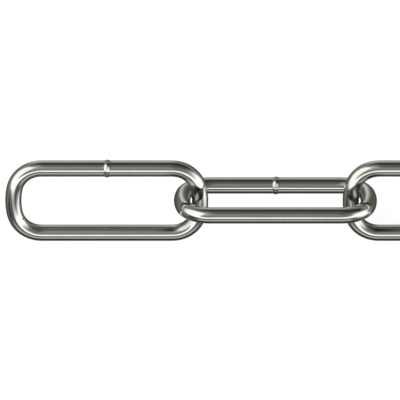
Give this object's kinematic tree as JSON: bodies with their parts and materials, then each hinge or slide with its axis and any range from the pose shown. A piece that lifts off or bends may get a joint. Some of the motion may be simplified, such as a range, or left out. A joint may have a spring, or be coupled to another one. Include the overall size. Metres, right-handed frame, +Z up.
{
  "type": "long-link steel chain",
  "caption": "Straight length of welded long-link chain in bright plated steel wire, links crossing at right angles, for hanging, hooking or guarding light things.",
  "frame": {"origin": "on the floor, under the middle of the chain", "axes": "+X along the chain from link_01 to link_16, +Y to the side, +Z up from the floor it lies on"},
  "size_m": [0.5022, 0.0123, 0.0123],
  "materials": {
    "bright_steel": "bright, slightly warm nickel plate over drawn steel wire, with fine draw lines"
  },
  "bodies": {
    "root": {"link_01": "bright_steel", "link_02": "bright_steel", "link_03": "bright_steel", "link_04": "bright_steel", "link_05": "bright_steel", "link_06": "bright_steel", "link_07": "bright_steel", "link_08": "bright_steel", "link_09": "bright_steel", "link_10": "bright_steel", "link_11": "bright_steel", "link_12": "bright_steel", "link_13": "bright_steel", "link_14": "bright_steel", "link_15": "bright_steel", "link_16": "bright_steel"}
  },
  "joints": []
}
